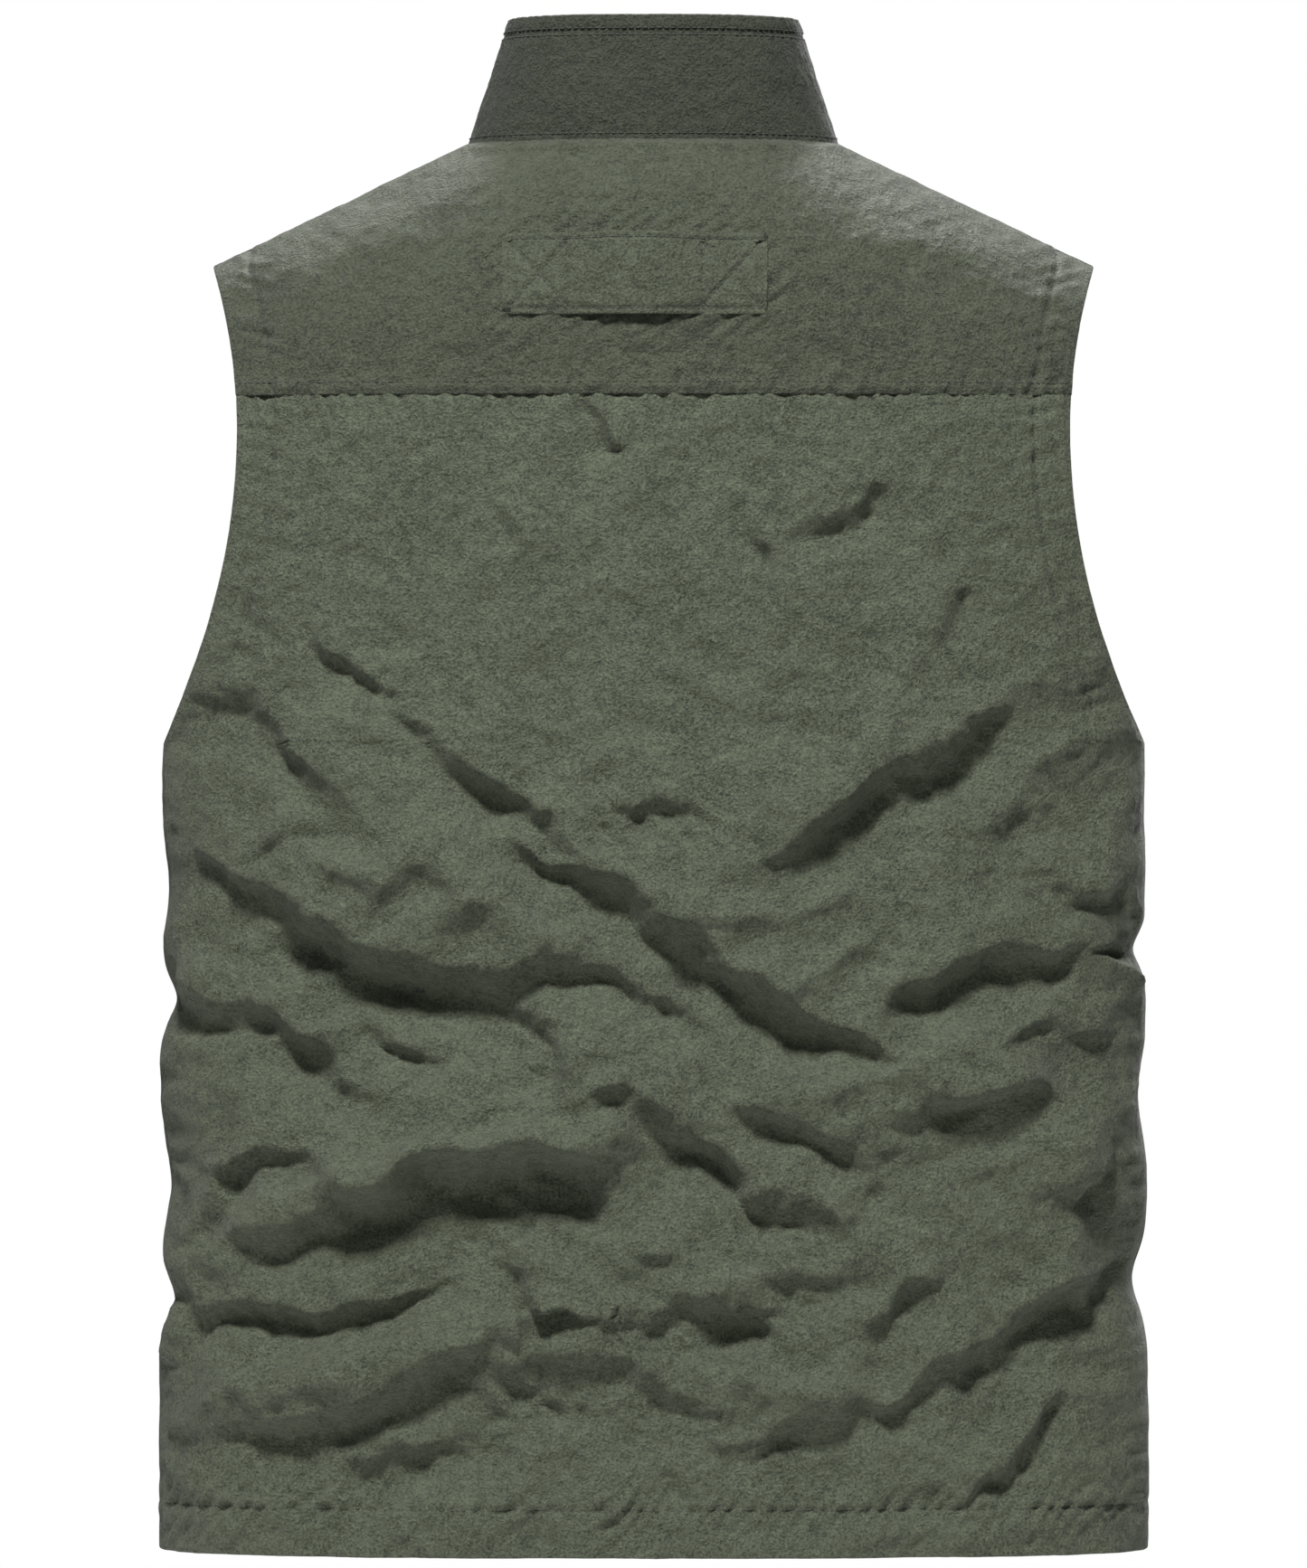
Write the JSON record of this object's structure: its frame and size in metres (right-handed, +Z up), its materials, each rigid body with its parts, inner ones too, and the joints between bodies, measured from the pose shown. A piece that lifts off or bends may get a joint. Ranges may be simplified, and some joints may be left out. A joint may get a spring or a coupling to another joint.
{
  "type": "fishing vest",
  "caption": "Sleeveless olive nylon fishing vest with a stand collar, zipped front, flapped pockets and a net tab on its back yoke.",
  "frame": {"origin": "under the middle of the vest, on the level of the hem", "axes": "+X to the wearer's left, +Y out of the back, +Z up; the zipped front faces -Y"},
  "size_m": [0.48, 0.236, 0.741],
  "materials": {
    "shell_fabric": "crinkled matte nylon",
    "lining_mesh": "open knitted mesh",
    "webbing": "folded and topstitched nylon",
    "zip_tape": "woven tape",
    "zip_coil": "nylon coil",
    "zip_metal": "satin dark enamel",
    "hook_and_loop": "hook and loop pile",
    "label": "blank woven satin"
  },
  "bodies": {
    "root": {"back_panel": "shell_fabric", "back_yoke": "shell_fabric", "back_hem_facing": "shell_fabric", "back_tab": "webbing", "back_lining": "lining_mesh", "collar_back": "shell_fabric", "collar_back_facing": "shell_fabric", "collar_back_edge": "shell_fabric", "hanger_loop": "webbing", "blank_label": "label", "left_front_side": "shell_fabric", "right_front_side": "shell_fabric", "left_front_yoke": "shell_fabric", "right_front_yoke": "shell_fabric", "left_side_hem_facing": "shell_fabric", "right_side_hem_facing": "shell_fabric", "left_armhole_facing_back": "shell_fabric", "right_armhole_facing_back": "shell_fabric", "left_armhole_facing_front": "shell_fabric", "right_armhole_facing_front": "shell_fabric"},
    "left_front": {"left_front_panel": "shell_fabric", "left_front_hem_facing": "shell_fabric", "left_front_lining": "lining_mesh", "left_collar_front": "shell_fabric", "left_collar_front_facing": "shell_fabric", "left_collar_front_edge": "shell_fabric", "left_zip_tape": "zip_tape", "left_zip_coil": "zip_coil", "left_zip_stop": "zip_metal", "left_chest_pocket": "shell_fabric", "left_lower_pocket": "shell_fabric", "left_chest_loop_patch": "hook_and_loop", "left_lower_loop_patch": "hook_and_loop", "zip_pin": "zip_metal"},
    "right_front": {"right_front_panel": "shell_fabric", "right_front_hem_facing": "shell_fabric", "right_front_lining": "lining_mesh", "right_collar_front": "shell_fabric", "right_collar_front_facing": "shell_fabric", "right_collar_front_edge": "shell_fabric", "right_zip_tape": "zip_tape", "right_zip_coil": "zip_coil", "right_zip_stop": "zip_metal", "right_chest_pocket": "shell_fabric", "right_lower_pocket": "shell_fabric", "right_chest_loop_patch": "hook_and_loop", "right_lower_loop_patch": "hook_and_loop", "zip_box": "zip_metal"},
    "zip_slider": {"zip_slider": "zip_metal"},
    "zip_pull": {"zip_pull": "zip_metal"},
    "left_chest_flap": {"left_chest_flap": "shell_fabric", "left_chest_hook_patch": "hook_and_loop"},
    "left_lower_flap": {"left_lower_flap": "shell_fabric", "left_lower_hook_patch": "hook_and_loop"},
    "right_chest_flap": {"right_chest_flap": "shell_fabric", "right_chest_hook_patch": "hook_and_loop"},
    "right_lower_flap": {"right_lower_flap": "shell_fabric", "right_lower_hook_patch": "hook_and_loop"}
  },
  "joints": [
    {"name": "left_front_opening", "type": "hinge", "parent": "root", "child": "left_front", "pos_m": [0.1502, -0.08296, 0.3], "axis": [-0.2111, 0.0133, 0.9774], "range_deg": [0, 45]},
    {"name": "left_chest_flap_lift", "type": "hinge", "parent": "left_front", "child": "left_chest_flap", "pos_m": [0.0621, -0.08403, 0.49406], "axis": [-0.9981, -0.0609, 0], "range_deg": [0, 125]},
    {"name": "left_lower_flap_lift", "type": "hinge", "parent": "left_front", "child": "left_lower_flap", "pos_m": [0.0942, -0.0866, 0.22806], "axis": [-0.9916, -0.1292, 0], "range_deg": [0, 125]},
    {"name": "right_front_opening", "type": "hinge", "parent": "root", "child": "right_front", "pos_m": [-0.1502, -0.08296, 0.3], "axis": [-0.2111, -0.0133, -0.9774], "range_deg": [0, 45]},
    {"name": "right_chest_flap_lift", "type": "hinge", "parent": "right_front", "child": "right_chest_flap", "pos_m": [-0.0621, -0.08403, 0.49406], "axis": [-0.9981, 0.0609, 0], "range_deg": [0, 125]},
    {"name": "right_lower_flap_lift", "type": "hinge", "parent": "right_front", "child": "right_lower_flap", "pos_m": [-0.0942, -0.0866, 0.22806], "axis": [-0.9916, 0.1292, 0], "range_deg": [0, 125]},
    {"name": "zip_travel", "type": "slide", "parent": "right_front", "child": "zip_slider", "axis": [0, -0.02, -0.9998], "range_m": [0, 0.634]},
    {"name": "zip_pull_swing", "type": "hinge", "parent": "zip_slider", "child": "zip_pull", "pos_m": [0, -0.0836, 0.65707], "axis": [-1, 0, 0], "range_deg": [0, 150]}
  ]
}
